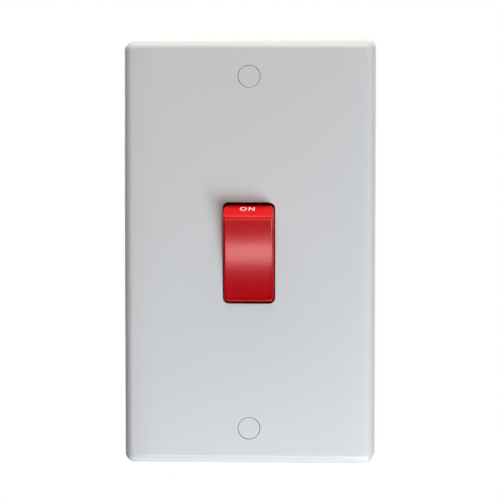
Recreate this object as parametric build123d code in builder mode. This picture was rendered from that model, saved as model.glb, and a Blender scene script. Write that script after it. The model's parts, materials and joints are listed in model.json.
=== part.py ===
from build123d import *
import os
from math import atan2, cos, hypot, radians, sin

# A 45 A double-pole wall switch on a tall two-gang plate, with its rocker in the ON position.
# The origin is the middle of the plate's back rim. X runs right and Z runs up. The wall is the plane
# y = 0, the plate stands out of it along -Y, and the mechanism reaches into the wall box along +Y.

# Front plate
plate_height = 146.0
plate_width = 86.0
plate_depth = 9.5
plate_corner_radius = 3.8
plate_edge_radius = 2.8
side_draft = 4.0
plate_wall = 2.6
rim_width = 2.2
edge_break = 0.2
window_width = 17.8
window_height = 34.6
window_radius = 2.0

# Fixing screws and the covers over them
fixing_centres = 120.6
fixing_boss_diameter = 12.0
fixing_boss_relief = 0.5
fixing_screw_length = 25.0
fixing_tip_chamfer = 0.6
fixing_thread_diameter = 3.5
fixing_neck_diameter = 3.1
fixing_head_diameter = 6.4
fixing_head_height = 2.4
fixing_hole_diameter = 4.2
fixing_seat_depth = 5.0
thread_start_depth = 0.3
cap_diameter = 7.35
cap_gap = 0.15
cap_thickness = 1.2
cap_skirt_wall = 0.35
cap_grip_gap = 0.05
cap_grip_length = 1.0
cap_slot_width = 1.2

# Rocker: heights are from its pivot, and proud lengths are from the plate's face
rocker_travel = 18.0
rocker_side_gap = 0.35
rocker_heel_gap = 0.65
rocker_nose_gap = 1.0
heel_proud = 0.65
ridge_proud = 5.6
ridge_setback = 3.4
dish_depth = 1.2
rocker_wall = 1.6
rocker_back_depth = 2.0
rocker_corner_radius = 1.7
rocker_edge_radius = 0.75
rocker_rib = 1.2
rocker_rib_ahead = 3.0
panel_rim = 0.85
ridge_rim = 0.75
panel_sink = 0.3
panel_corner_radius = 1.0
trunnion_diameter = 3.0
trunnion_length = 2.4
trunnion_gap = 0.08
keeper_pad_height = 0.5
well_side_gap = 0.6
well_swing_gap = 0.8

# Plungers and their springs, one for each pole
pole_spacing = 9.2
plunger_diameter = 3.0
plunger_gap = 0.1
plunger_reach = 12.0
plunger_guide = 5.4
tube_wall = 1.0
tube_length = 5.0
tube_end_gap = 0.3
tube_root = 0.5
spring_wire = 0.4
spring_diameter = 2.6
spring_turns = 4.5
seat_gap = 0.05

# See-saw contacts
bar_travel = 15.0
bar_width = 5.0
bar_length = 28.0
bar_thickness = 1.2
bar_corner_radius = 1.6
fulcrum_radius = 0.8
fulcrum_width = 3.2
lug_thickness = 0.6
lug_length = 2.4
lug_reach = 1.3
tip_offset = 12.0
tip_diameter = 4.0
tip_thickness = 0.9
tip_dome_radius = 8.0
strip_width = 5.0
strip_thickness = 1.2
strip_lap = 0.8
fixed_strip_start = 9.0
fulcrum_strip_end = 2.0

# Terminals
terminal_spacing_x = 23.0
terminal_spacing_z = 48.0
block_width = 10.6
block_length = 10.2
block_chamfer = 0.5
cable_bore_diameter = 6.6
cable_bore_wall = 1.2
clamp_screw_diameter = 4.8
clamp_screw_gap = 0.1
clamp_screw_length = 8.0
clamp_head_diameter = 8.0
clamp_head_height = 2.6
clamp_head_chamfer = 0.3
clamp_tip_chamfer = 0.5
strip_hole_gap = 0.5
driver_slot_width = 1.1
driver_slot_depth = 1.2

# Cradle and base
cradle_depth = 5.9
keeper_height = 0.9
keeper_width = 7.0
cradle_end_gap = 0.6
cradle_rim = 1.2
base_depth = 21.0
base_corner_radius = 2.5
base_edge = 0.8
base_floor = 2.4
pocket_gap = 0.15
pocket_end_wall = 1.7
chamber_width = 7.4
chamber_gap = 2.5
rocker_pocket_depth = 2.5
rear_rib = 1.6
cable_entry_gap = 0.7
cable_entry_flare = 0.6
access_gap = 0.6

# Screws that hold the mechanism to the plate
post_spacing_x = 37.6
post_spacing_z = 19.0
post_boss_diameter = 7.0
post_boss_gap = 0.3
post_length = 11.0
post_wall = 1.2
post_screw_diameter = 2.8
post_grip = 4.4
post_head_diameter = 5.5
post_head_height = 2.0
post_head_radius = 0.6
post_tip_chamfer = 0.7
post_cross_length = 2.8
post_cross_width = 0.6
post_cross_depth = 1.0
post_hole_gap = 0.2
post_pilot_gap = 0.05
post_head_gap = 0.25
pilot_end_gap = 0.6

# Ribs on the back of the plate
locating_gap = 0.4
locating_wall = 1.2
locating_height = 6.4
rib_thickness = 1.4
rib_height = 3.0
rib_spacing = 8.0

# Earth terminal
earth_x = 31.0
earth_z = -30.0
earth_width = 8.0
earth_length = 15.0
earth_depth = 10.5
earth_bore_diameter = 5.6
earth_screw_spacing = 7.4
earth_screw_diameter = 3.8
earth_screw_length = 5.5
earth_head_diameter = 6.4
earth_head_height = 2.0
saddle_floor = 1.0
saddle_wall = 1.2
saddle_height = 4.0

# Smallest share of a direction along Y for an edge that runs, or a face that looks, front to back
edge_share = 0.9
face_share = 0.3

# Depths worked out from the sizes above
face_y = -plate_depth
inner_y = face_y + plate_wall
base_front_y = inner_y + cradle_depth
base_back_y = base_front_y + base_depth
pivot_y = inner_y + keeper_pad_height + trunnion_gap + trunnion_diameter / 2
seat_y = face_y + fixing_seat_depth
fixing_head_y = seat_y - fixing_head_height
boss_end_y = -fixing_boss_relief

# Rocker outline worked out from the sizes above
rocker_width = window_width - 2 * rocker_side_gap
heel_z = rocker_heel_gap - window_height / 2
nose_z = window_height / 2 - rocker_nose_gap
ridge_height = nose_z - ridge_setback
heel_y = face_y - heel_proud
ridge_y = face_y - ridge_proud
half_travel = radians(rocker_travel / 2)
nose_swing = hypot(nose_z, pivot_y - face_y)
well_width = rocker_width + 2 * well_side_gap
well_height = 2 * (nose_swing + well_swing_gap)
pole_x = pole_spacing / 2
tube_radius = plunger_diameter / 2 + plunger_gap + tube_wall

# See-saw geometry: each bar tips about the top of its fulcrum
bar_tilt = radians(bar_travel / 2)
bar_back = fulcrum_radius + seat_gap
bar_front = bar_back + bar_thickness
fulcrum_y = pivot_y + plunger_reach + seat_gap + bar_front
dome_centre = bar_back - tip_thickness + tip_dome_radius
fixed_tip_z = tip_offset * cos(bar_tilt) + dome_centre * sin(bar_tilt)
moving_tip_y = fulcrum_y + tip_offset * sin(bar_tilt) - dome_centre * cos(bar_tilt) + tip_dome_radius
fixed_tip_y = moving_tip_y + seat_gap
strip_front_y = fixed_tip_y + tip_thickness
strip_back_y = strip_front_y + strip_thickness
chamber_height = bar_length + 2 * chamber_gap

# Terminal depths: each block fills the space between the cradle's keeper and its strip
terminal_x = terminal_spacing_x / 2
terminal_z = terminal_spacing_z / 2
block_front_y = base_front_y + keeper_height + seat_gap
block_depth = strip_front_y - block_front_y
cable_bore_y = block_front_y + cable_bore_wall + cable_bore_diameter / 2
clamp_tip_y = cable_bore_y + cable_bore_diameter / 2 + seat_gap
clamp_hole_diameter = clamp_screw_diameter + 2 * clamp_screw_gap
base_width = post_spacing_x + post_head_diameter + 2 * (post_head_gap + post_wall)
base_height = terminal_spacing_z + block_length + 2 * (pocket_gap + pocket_end_wall)
post_seat_y = base_front_y + post_length
access_diameter = clamp_head_diameter + 2 * access_gap
block_edge_x = terminal_x + block_width / 2
block_edge_z = terminal_z + block_length / 2
strip_turn_z = terminal_z - block_length / 2 + strip_lap
strip_corner = 2 * pocket_gap

# Earth terminal depths
earth_front_y = inner_y + saddle_floor
earth_back_y = earth_front_y + earth_depth
earth_bore_y = earth_front_y + cable_bore_wall + earth_bore_diameter / 2
earth_tip_y = earth_bore_y + earth_bore_diameter / 2 + seat_gap


def front_plane(x, y, z):
    """Sketch plane at a point, facing out of the wall: its x runs right and its y runs up."""
    return Plane(origin=(x, y, z), x_dir=(1, 0, 0), z_dir=(0, -1, 0))


def back_plane(x, y, z):
    """Sketch plane at a point, facing into the wall: its x runs left and its y runs up."""
    return Plane(origin=(x, y, z), x_dir=(-1, 0, 0), z_dir=(0, 1, 0))


def rocker_point(depth, height):
    """Where a point behind the pivot by depth, with the rocker level, lies once it is pressed ON."""
    return (
        pivot_y + depth * cos(half_travel) - height * sin(half_travel),
        height * cos(half_travel) + depth * sin(half_travel),
    )


def runs_back(edge):
    """Whether an edge runs mostly from front to back."""
    return abs(edge.tangent_at(0.5).Y) > edge_share


def save(part, name):
    """Label a finished piece and write its STEP file."""
    part.label = name
    export_step(part, f"parts/{name}.step")


os.makedirs("parts", exist_ok=True)

# Front plate: a drafted tray with rounded front edges, open at the back
with BuildPart() as plate:
    with BuildSketch(front_plane(0, 0, 0)):
        RectangleRounded(plate_width, plate_height, plate_corner_radius)
    extrude(amount=plate_depth, taper=side_draft)
    fillet(plate.faces().sort_by(Axis.Y)[0].edges(), plate_edge_radius)
    with BuildSketch(front_plane(0, 0, 0)):
        RectangleRounded(
            plate_width - 2 * rim_width,
            plate_height - 2 * rim_width,
            plate_corner_radius - rim_width,
        )
    extrude(amount=-inner_y, taper=side_draft, mode=Mode.SUBTRACT)

    # Bosses for the fixing screws and for the screws that hold the mechanism
    with BuildSketch(front_plane(0, boss_end_y, 0)):
        with GridLocations(0, fixing_centres, 1, 2):
            Circle(fixing_boss_diameter / 2)
    extrude(amount=boss_end_y - inner_y)
    with BuildSketch(front_plane(0, base_front_y, 0)):
        with GridLocations(post_spacing_x, post_spacing_z, 2, 2):
            Circle(post_boss_diameter / 2)
    extrude(amount=base_front_y - inner_y)

    # Wall that locates the mechanism, and the ribs that run from it past each fixing boss
    with BuildSketch(front_plane(0, inner_y + locating_height, 0)):
        Rectangle(
            base_width + 2 * (locating_gap + locating_wall),
            base_height + 2 * (locating_gap + locating_wall),
        )
        Rectangle(
            base_width + 2 * locating_gap,
            base_height + 2 * locating_gap,
            mode=Mode.SUBTRACT,
        )
    extrude(amount=locating_height)
    rib_start = base_height / 2 + locating_gap + locating_wall / 2
    rib_end = plate_height / 2 - rim_width / 2
    with BuildSketch(front_plane(0, inner_y + rib_height, 0)):
        with GridLocations(rib_spacing, rib_start + rib_end, 2, 2):
            Rectangle(rib_thickness, rib_end - rib_start)
    extrude(amount=rib_height)

    # Pads that close the trunnion notches of the cradle
    with BuildSketch(front_plane(0, inner_y + keeper_pad_height, 0)):
        with GridLocations(rocker_width + trunnion_length + well_side_gap, 0, 2, 1):
            Rectangle(trunnion_length - well_side_gap, trunnion_diameter - 2 * trunnion_gap)
    extrude(amount=keeper_pad_height)

    # Saddle of the earth terminal
    with BuildSketch(front_plane(earth_x, inner_y + saddle_height, earth_z)):
        Rectangle(earth_width + 2 * (pocket_gap + saddle_wall), earth_length - 2 * saddle_wall)
    extrude(amount=saddle_height)
    with BuildSketch(front_plane(earth_x, inner_y + saddle_height, earth_z)):
        Rectangle(earth_width + 2 * pocket_gap, earth_length)
    extrude(amount=saddle_height - saddle_floor, mode=Mode.SUBTRACT)

    # Openings: the rocker's window, and the stepped screw holes under the covers
    with BuildSketch(front_plane(0, 0, 0)):
        RectangleRounded(window_width, window_height, window_radius)
    extrude(amount=plate_depth, mode=Mode.SUBTRACT)
    with Locations(front_plane(0, face_y, 0)):
        with GridLocations(0, fixing_centres, 1, 2):
            CounterBoreHole(
                fixing_hole_diameter / 2, cap_diameter / 2 + cap_gap, fixing_seat_depth
            )
    with Locations(back_plane(0, base_front_y, 0)):
        with GridLocations(post_spacing_x, post_spacing_z, 2, 2):
            Hole(
                post_screw_diameter / 2 + post_pilot_gap,
                depth=post_grip + pilot_end_gap,
            )
    front_openings = plate.faces().sort_by(Axis.Y)[0].inner_wires()
    fillet([edge for wire in front_openings for edge in wire.edges()], edge_break)
save(plate.part, "front_plate")

# Covers: a disc with a split skirt that grips the head of the fixing screw
for name, side in (("top", 1), ("bottom", -1)):
    cap_z = side * fixing_centres / 2
    skirt_inner = fixing_head_diameter / 2 + cap_grip_gap
    with BuildPart() as cap:
        with BuildSketch(front_plane(0, face_y + cap_thickness, cap_z)):
            Circle(cap_diameter / 2)
        extrude(amount=cap_thickness)
        fillet(cap.faces().sort_by(Axis.Y)[0].edges(), edge_break)
        with BuildSketch(front_plane(0, fixing_head_y + cap_grip_length, cap_z)):
            Circle(skirt_inner + cap_skirt_wall)
            Circle(skirt_inner, mode=Mode.SUBTRACT)
            Rectangle(cap_diameter, cap_slot_width, mode=Mode.SUBTRACT)
            Rectangle(cap_slot_width, cap_diameter, mode=Mode.SUBTRACT)
        extrude(amount=fixing_head_y + cap_grip_length - face_y - cap_thickness)
    save(cap.part, f"screw_cap_{name}")

# Fixing screws: pan head with a cross recess, plain neck, then the rolled thread
for name, side in (("top", 1), ("bottom", -1)):
    screw_z = side * fixing_centres / 2
    tip_y = seat_y + fixing_screw_length
    with BuildPart() as screw:
        with BuildSketch(back_plane(0, fixing_head_y, screw_z)):
            Circle(fixing_head_diameter / 2)
        extrude(amount=fixing_head_height)
        fillet(screw.faces().sort_by(Axis.Y)[0].edges(), fixing_head_height / 2)
        with BuildSketch(back_plane(0, seat_y, screw_z)):
            Circle(fixing_neck_diameter / 2)
        extrude(amount=thread_start_depth - seat_y)
        with BuildSketch(back_plane(0, thread_start_depth, screw_z)):
            Circle(fixing_thread_diameter / 2)
        extrude(amount=tip_y - thread_start_depth)
        chamfer(screw.faces().sort_by(Axis.Y)[-1].edges(), fixing_tip_chamfer)
        with BuildSketch(back_plane(0, fixing_head_y, screw_z)):
            Rectangle(fixing_neck_diameter, driver_slot_width)
            Rectangle(driver_slot_width, fixing_neck_diameter)
        extrude(amount=driver_slot_depth, mode=Mode.SUBTRACT)
    save(screw.part, f"fixing_screw_{name}")

# Rocker outline from the side, as (y, z): plain heel and nose, a dished face and a short ON facet
face_chord = hypot(ridge_height - heel_z, ridge_proud - heel_proud)
chord_angle = atan2(ridge_proud - heel_proud, ridge_height - heel_z)
facet_length = hypot(nose_z - ridge_height, ridge_proud)
facet_angle = atan2(ridge_proud, nose_z - ridge_height)


def dish_point(along, sink):
    """Point on the dished face, as (y, z), at a length along its chord and sunk by a small depth."""
    share = along / face_chord
    inward = 4 * dish_depth * share * (1 - share) + sink
    return (
        heel_y - along * sin(chord_angle) + inward * cos(chord_angle),
        heel_z + along * cos(chord_angle) + inward * sin(chord_angle),
    )


def rocker_outline(back_depth):
    """Side outline of the rocker, cut off back_depth behind its pivot when it is level."""
    heel_back = rocker_point(back_depth, heel_z)
    nose_back = rocker_point(back_depth, nose_z)
    with BuildLine() as outline:
        Line(heel_back, (heel_y, heel_z))
        ThreePointArc((heel_y, heel_z), dish_point(face_chord / 2, 0), (ridge_y, ridge_height))
        Polyline((ridge_y, ridge_height), (face_y, nose_z), nose_back, heel_back)
    return outline.edges()


def plunger_plane(x, along):
    """Sketch plane across a plunger at a length from the pivot, facing the way the plunger points."""
    axis = Vector(0, cos(half_travel), sin(half_travel))
    return Plane(origin=Vector(x, pivot_y, 0) + axis * along, x_dir=(1, 0, 0), z_dir=axis)


# Cutter for the matt panel that is sunk into the dished face
panel_end = face_chord - ridge_rim
with BuildPart() as panel_cutter:
    with BuildSketch(Plane.YZ):
        with BuildLine():
            panel_heel = dish_point(panel_rim, panel_sink)
            panel_top = dish_point(panel_end, panel_sink)
            ThreePointArc(panel_heel, dish_point(face_chord / 2, panel_sink), panel_top)
            Polyline(
                panel_top,
                dish_point(panel_end, -ridge_proud),
                dish_point(panel_rim, -ridge_proud),
                panel_heel,
            )
        make_face()
    extrude(amount=rocker_width / 2 - panel_rim, both=True)
    panel_corners = panel_cutter.edges().filter_by(runs_back)
    fillet(panel_corners, panel_corner_radius)

# Rocker: a ribbed shell with a trunnion on each side and a tube for each plunger
roof_ahead = pivot_y - dish_point(-heel_z / cos(chord_angle), rocker_wall)[0]
with BuildPart() as rocker:
    with BuildSketch(Plane.YZ) as side_view:
        make_face(rocker_outline(rocker_back_depth))
        ridge_corner = side_view.vertices().sort_by(Axis.X)[0]
        fillet(ridge_corner, rocker_edge_radius)
    extrude(amount=rocker_width / 2, both=True)
    fillet(rocker.edges().filter_by(runs_back), rocker_corner_radius)
    front_faces = rocker.faces().filter_by(lambda face: face.normal_at().Y < -face_share)
    front_outline = [
        edge
        for edge in front_faces.edges()
        if abs(edge.center().X) > edge_break or abs(edge.center().Z) > ridge_height + ridge_rim
    ]
    fillet(front_outline, rocker_edge_radius)

    # Sunk panels: one in the dished face, and one in the ON facet that is open at the nose
    add(panel_cutter.part, mode=Mode.SUBTRACT)
    facet_middle = (0, (ridge_y + face_y) / 2, (ridge_height + nose_z) / 2)
    facet_normal = (0, -cos(facet_angle), sin(facet_angle))
    with BuildSketch(Plane(origin=facet_middle, x_dir=(1, 0, 0), z_dir=facet_normal)) as facet_panel:
        with Locations((0, ridge_rim)):
            Rectangle(rocker_width - 2 * (panel_rim + rocker_edge_radius / 2), facet_length)
        fillet(facet_panel.vertices().group_by(Axis.Y)[0], panel_corner_radius)
    extrude(amount=-panel_sink, mode=Mode.SUBTRACT)

    # Hollow back, and the ribs under the roof that run along the tubes
    with BuildSketch(Plane.YZ):
        make_face(rocker_outline(rocker_back_depth + 2 * rocker_wall))
        offset(amount=-rocker_wall)
    extrude(amount=rocker_width / 2 - rocker_wall, both=True, mode=Mode.SUBTRACT)
    for side in (-1, 1):
        with BuildSketch(Plane.YZ.offset(side * pole_x)):
            make_face(rocker_outline(-rocker_rib_ahead))
            offset(amount=-rocker_wall / 2)
        extrude(amount=rocker_rib / 2, both=True)

    # Tubes for the plungers with a web between them, and the trunnions
    with BuildSketch(plunger_plane(0, tube_length)):
        with GridLocations(pole_spacing, 0, 2, 1):
            Circle(tube_radius)
        Rectangle(pole_spacing, rocker_rib)
    extrude(amount=-(tube_length + roof_ahead + tube_root))
    with BuildSketch(plunger_plane(0, tube_length)):
        with GridLocations(pole_spacing, 0, 2, 1):
            Circle(plunger_diameter / 2 + plunger_gap)
    extrude(amount=-(tube_length + roof_ahead - tube_end_gap), mode=Mode.SUBTRACT)
    for side in (-1, 1):
        with BuildSketch(Plane.YZ.offset(side * rocker_width / 2)):
            with Locations((pivot_y, 0)):
                Circle(trunnion_diameter / 2)
        extrude(amount=side * trunnion_length)
save(rocker.part, "rocker")

# Plungers: pins with a rounded nose that ride on the see-saw contacts
plunger_start = tube_length - plunger_guide
for name, side in (("live", -1), ("neutral", 1)):
    with BuildPart() as plunger:
        with BuildSketch(plunger_plane(side * pole_x, plunger_start)):
            Circle(plunger_diameter / 2)
        extrude(amount=plunger_reach - plunger_start)
        fillet(plunger.faces().sort_by(Axis.Y)[-1].edges(), plunger_diameter / 2 - seat_gap)
    save(plunger.part, f"plunger_{name}")

# Plunger springs: coils between each plunger and the blind end of its tube
spring_start = tube_end_gap - roof_ahead + seat_gap
spring_height = plunger_start - spring_start - seat_gap
coil_height = spring_height - spring_wire
for name, side in (("live", -1), ("neutral", 1)):
    coil_base = plunger_plane(side * pole_x, spring_start + spring_wire / 2)
    with BuildPart() as spring:
        with BuildLine():
            coil = Helix(
                coil_height / spring_turns,
                coil_height,
                (spring_diameter - spring_wire) / 2,
                center=coil_base.origin,
                direction=coil_base.z_dir,
            )
        with BuildSketch(Plane(origin=coil @ 0, z_dir=coil % 0)):
            Circle(spring_wire / 2)
        sweep(path=coil, is_frenet=True)
    save(spring.part, f"plunger_spring_{name}")

# Cradle: black moulding under the plate, with the rocker's well and its trunnion notches
cradle_waist = post_spacing_x - post_boss_diameter - 2 * post_boss_gap
flange_width = 2 * (block_edge_x + cradle_rim)
flange_start = (post_spacing_z + post_boss_diameter) / 2 + post_boss_gap
flange_end = base_height / 2 - cradle_end_gap
notch_radius = trunnion_diameter / 2 + trunnion_gap
with BuildPart() as cradle:
    with BuildSketch(front_plane(0, base_front_y, 0)):
        Rectangle(cradle_waist, 2 * flange_end)
        with GridLocations(0, flange_start + flange_end, 1, 2):
            Rectangle(flange_width, flange_end - flange_start)
        RectangleRounded(well_width, well_height, window_radius, mode=Mode.SUBTRACT)
    extrude(amount=cradle_depth)
    for side in (-1, 1):
        with BuildSketch(Plane.YZ.offset(side * well_width / 2)):
            with Locations((pivot_y, 0)):
                Circle(notch_radius)
            with Locations(((pivot_y + inner_y) / 2, 0)):
                Rectangle(pivot_y - inner_y, 2 * notch_radius)
        extrude(amount=side * (trunnion_length - well_side_gap + seat_gap * 2), mode=Mode.SUBTRACT)
    with BuildSketch(front_plane(0, base_front_y + keeper_height, 0)):
        with GridLocations(terminal_spacing_x, terminal_spacing_z, 2, 2):
            Rectangle(keeper_width, keeper_width)
    extrude(amount=keeper_height)
save(cradle.part, "rocker_cradle")


def span(x_start, x_end, z_start, z_end):
    """Rectangle between two corners of the sketch."""
    with Locations(((x_start + x_end) / 2, (z_start + z_end) / 2)):
        Rectangle(abs(x_end - x_start), abs(z_end - z_start))


def strip_outline(pole, end, start, gap=0):
    """Flat strip from a start height, through a sideways turn, to the terminal at one end."""
    inner_x = pole * (pole_x - strip_width / 2 - gap)
    outer_x = pole * (block_edge_x + gap)
    turn_end = end * (strip_turn_z + gap)
    turn_start = end * (strip_turn_z - strip_width - gap)
    span(inner_x, pole * (pole_x + strip_width / 2 + gap), end * (start - gap), turn_end)
    span(inner_x, outer_x, turn_start, turn_end)
    span(pole * (terminal_x - block_width / 2 - gap), outer_x, turn_start, end * (block_edge_z + gap))


# Base: black housing, open towards the plate, with a chamber for each pole and four terminals
floor_y = strip_back_y + base_floor
with BuildPart() as base:
    with BuildSketch(back_plane(0, base_front_y, 0)):
        RectangleRounded(base_width, base_height, base_corner_radius)
    extrude(amount=base_depth)
    chamfer(base.faces().sort_by(Axis.Y)[-1].edges(), base_edge)
    with BuildSketch(back_plane(0, base_front_y, 0)):
        Rectangle(well_width, well_height)
    extrude(amount=rocker_pocket_depth, mode=Mode.SUBTRACT)
    with BuildSketch(back_plane(0, base_front_y, 0)):
        with GridLocations(pole_spacing, 0, 2, 1):
            Rectangle(chamber_width, chamber_height)
        for pole in (-1, 1):
            for end in (-1, 1):
                strip_outline(pole, end, fixed_strip_start, pocket_gap)
    extrude(amount=strip_back_y - base_front_y, mode=Mode.SUBTRACT)

    # Way in for each cable, and the way to each clamp screw
    for end in (-1, 1):
        mouth = Plane(origin=(0, cable_bore_y, end * base_height / 2), x_dir=(1, 0, 0), z_dir=(0, 0, end))
        with BuildSketch(mouth):
            with GridLocations(terminal_spacing_x, 0, 2, 1):
                Circle(cable_bore_diameter / 2 + cable_entry_gap)
        extrude(amount=-(pocket_end_wall + pocket_gap), mode=Mode.SUBTRACT)
    end_walls = base.faces().sort_by(Axis.Z)
    for end_wall in (end_walls[0], end_walls[-1]):
        entry_rims = [edge for wire in end_wall.inner_wires() for edge in wire.edges()]
        chamfer(entry_rims, cable_entry_flare)
    with BuildSketch(back_plane(0, strip_back_y, 0)):
        with GridLocations(terminal_spacing_x, terminal_spacing_z, 2, 2):
            Circle(access_diameter / 2)
    extrude(amount=base_back_y - strip_back_y, mode=Mode.SUBTRACT)
    with Locations(back_plane(0, base_back_y, 0)):
        with GridLocations(post_spacing_x, post_spacing_z, 2, 2):
            CounterBoreHole(
                post_screw_diameter / 2 + post_hole_gap,
                post_head_diameter / 2 + post_head_gap,
                base_back_y - post_seat_y,
            )

    # Pockets in the back that thin the floor behind the chambers
    pocket_width = (post_spacing_x - post_head_diameter) / 2 - post_head_gap - post_wall - rear_rib / 2
    pocket_height = terminal_spacing_z / 2 - access_diameter / 2 - post_wall - rear_rib / 2
    with BuildSketch(back_plane(0, floor_y, 0)):
        with GridLocations(pocket_width + rear_rib, pocket_height + rear_rib, 2, 2):
            RectangleRounded(pocket_width, pocket_height, rear_rib / 2)
    extrude(amount=base_back_y - floor_y, mode=Mode.SUBTRACT)
save(base.part, "mechanism_base")

# Screws that pull the base and cradle against the plate
post_tip_y = post_seat_y - post_length - post_grip
post_places = GridLocations(post_spacing_x, post_spacing_z, 2, 2).local_locations
for number, place in enumerate(post_places, start=1):
    post_x = place.position.X
    post_z = place.position.Y
    with BuildPart() as post_screw:
        with BuildSketch(front_plane(post_x, post_seat_y + post_head_height, post_z)):
            Circle(post_head_diameter / 2)
        extrude(amount=post_head_height)
        fillet(post_screw.faces().sort_by(Axis.Y)[-1].edges(), post_head_radius)
        with BuildSketch(front_plane(post_x, post_seat_y, post_z)):
            Circle(post_screw_diameter / 2)
        extrude(amount=post_seat_y - post_tip_y)
        chamfer(post_screw.faces().sort_by(Axis.Y)[0].edges(), post_tip_chamfer)
        with BuildSketch(front_plane(post_x, post_seat_y + post_head_height, post_z)):
            Rectangle(post_cross_length, post_cross_width)
            Rectangle(post_cross_width, post_cross_length)
        extrude(amount=post_cross_depth, mode=Mode.SUBTRACT)
    save(post_screw.part, f"mechanism_screw_{number}")


def clamp_screw(x, z, tip_y, length, diameter, head_diameter, head_height):
    """Slotted screw that enters a terminal from behind, backed off so that its cable way is open."""
    head_y = tip_y + length
    with BuildPart() as screw:
        with BuildSketch(back_plane(x, tip_y, z)):
            Circle(diameter / 2)
        extrude(amount=length)
        chamfer(screw.faces().sort_by(Axis.Y)[0].edges(), clamp_tip_chamfer)
        with BuildSketch(back_plane(x, head_y, z)):
            Circle(head_diameter / 2)
        extrude(amount=head_height)
        chamfer(screw.faces().sort_by(Axis.Y)[-1].edges(), clamp_head_chamfer)
        with BuildSketch(back_plane(x, head_y + head_height, z)):
            Rectangle(head_diameter, driver_slot_width)
        extrude(amount=-driver_slot_depth, mode=Mode.SUBTRACT)
    return screw.part


# Terminals: brass blocks with a cable way and a clamp screw, each on its strip
for end_name, end in (("load", 1), ("supply", -1)):
    for pole_name, pole in (("live", -1), ("neutral", 1)):
        block_x = pole * terminal_x
        block_z = end * terminal_z
        with BuildPart() as block:
            with BuildSketch(front_plane(block_x, strip_front_y, block_z)):
                Rectangle(block_width, block_length)
            extrude(amount=block_depth)
            chamfer(block.edges().filter_by(Axis.Z), block_chamfer)
            with Locations(Plane(origin=(block_x, cable_bore_y, block_z), z_dir=(0, 0, 1))):
                Hole(cable_bore_diameter / 2)
            with BuildSketch(front_plane(block_x, strip_front_y, block_z)):
                Circle(clamp_hole_diameter / 2)
            extrude(amount=strip_front_y - cable_bore_y, mode=Mode.SUBTRACT)
        save(block.part, f"terminal_block_{end_name}_{pole_name}")
        screw_part = clamp_screw(
            block_x,
            block_z,
            clamp_tip_y,
            clamp_screw_length,
            clamp_screw_diameter,
            clamp_head_diameter,
            clamp_head_height,
        )
        save(screw_part, f"terminal_screw_{end_name}_{pole_name}")

# Strips: the fixed contacts run to the load terminals, and the fulcrums to the supply terminals
for pole_name, pole in (("live", -1), ("neutral", 1)):
    for strip_name, end, start in (
        ("fixed_strip", 1, fixed_strip_start),
        ("fulcrum_strip", -1, -fulcrum_strip_end),
    ):
        with BuildPart() as strip:
            with BuildSketch(front_plane(0, strip_back_y, 0)) as strip_face:
                strip_outline(pole, end, start)
                fillet(strip_face.vertices(), strip_corner)
                with Locations((pole * terminal_x, end * terminal_z)):
                    Circle(clamp_screw_diameter / 2 + strip_hole_gap, mode=Mode.SUBTRACT)
            extrude(amount=strip_thickness)
            if strip_name == "fulcrum_strip":
                with BuildSketch(Plane.YZ.offset(pole * pole_x)):
                    with Locations((fulcrum_y, 0)):
                        Circle(fulcrum_radius)
                    span(fulcrum_y, strip_back_y, -fulcrum_radius, fulcrum_radius)
                extrude(amount=fulcrum_width / 2, both=True)
        save(strip.part, f"{strip_name}_{pole_name}")


def bar_plane(x, out):
    """Sketch plane of a see-saw contact in the ON position, at a distance in front of its fulcrum."""
    normal = Vector(0, -cos(bar_tilt), sin(bar_tilt))
    return Plane(origin=Vector(x, fulcrum_y, 0) + normal * out, x_dir=(1, 0, 0), z_dir=normal)


# See-saw contacts: bars that tip on their fulcrums, with lugs that keep them in line
for pole_name, pole in (("live", -1), ("neutral", 1)):
    bar_x = pole * pole_x
    with BuildPart() as bar:
        with BuildSketch(bar_plane(bar_x, bar_back)):
            RectangleRounded(bar_width, bar_length, bar_corner_radius)
        extrude(amount=bar_thickness)
        with BuildSketch(bar_plane(bar_x, bar_back - lug_reach)):
            with GridLocations(bar_width - lug_thickness, 0, 2, 1):
                Rectangle(lug_thickness, lug_length)
        extrude(amount=lug_reach)
    save(bar.part, f"contact_bar_{pole_name}")

    # Contact tips: a domed rivet on the bar and a flat one on the strip
    with BuildPart() as moving_tip:
        with BuildSketch(bar_plane(bar_x, bar_back)):
            with Locations((0, tip_offset)):
                Circle(tip_diameter / 2)
        extrude(amount=-tip_thickness)
        with Locations(bar_plane(bar_x, dome_centre)):
            with Locations((0, tip_offset)):
                Sphere(tip_dome_radius, mode=Mode.INTERSECT)
    save(moving_tip.part, f"moving_tip_{pole_name}")
    with BuildPart() as fixed_tip:
        with BuildSketch(front_plane(bar_x, strip_front_y, fixed_tip_z)):
            Circle(tip_diameter / 2)
        extrude(amount=strip_front_y - fixed_tip_y)
    save(fixed_tip.part, f"fixed_tip_{pole_name}")

# Earth terminal: a brass block in its saddle on the back of the plate, with two screws
with BuildPart() as earth_block:
    with BuildSketch(front_plane(earth_x, earth_back_y, earth_z)):
        Rectangle(earth_width, earth_length)
    extrude(amount=earth_depth)
    chamfer(earth_block.edges().filter_by(Axis.Z), block_chamfer)
    with Locations(Plane(origin=(earth_x, earth_bore_y, earth_z), z_dir=(0, 0, 1))):
        Hole(earth_bore_diameter / 2)
    with BuildSketch(front_plane(earth_x, earth_back_y, earth_z)):
        with GridLocations(0, earth_screw_spacing, 1, 2):
            Circle(earth_screw_diameter / 2 + clamp_screw_gap)
    extrude(amount=earth_back_y - earth_bore_y, mode=Mode.SUBTRACT)
save(earth_block.part, "earth_terminal")
for number, side in ((1, 1), (2, -1)):
    earth_screw = clamp_screw(
        earth_x,
        earth_z + side * earth_screw_spacing / 2,
        earth_tip_y,
        earth_screw_length,
        earth_screw_diameter,
        earth_head_diameter,
        earth_head_height,
    )
    save(earth_screw, f"earth_screw_{number}")
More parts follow.
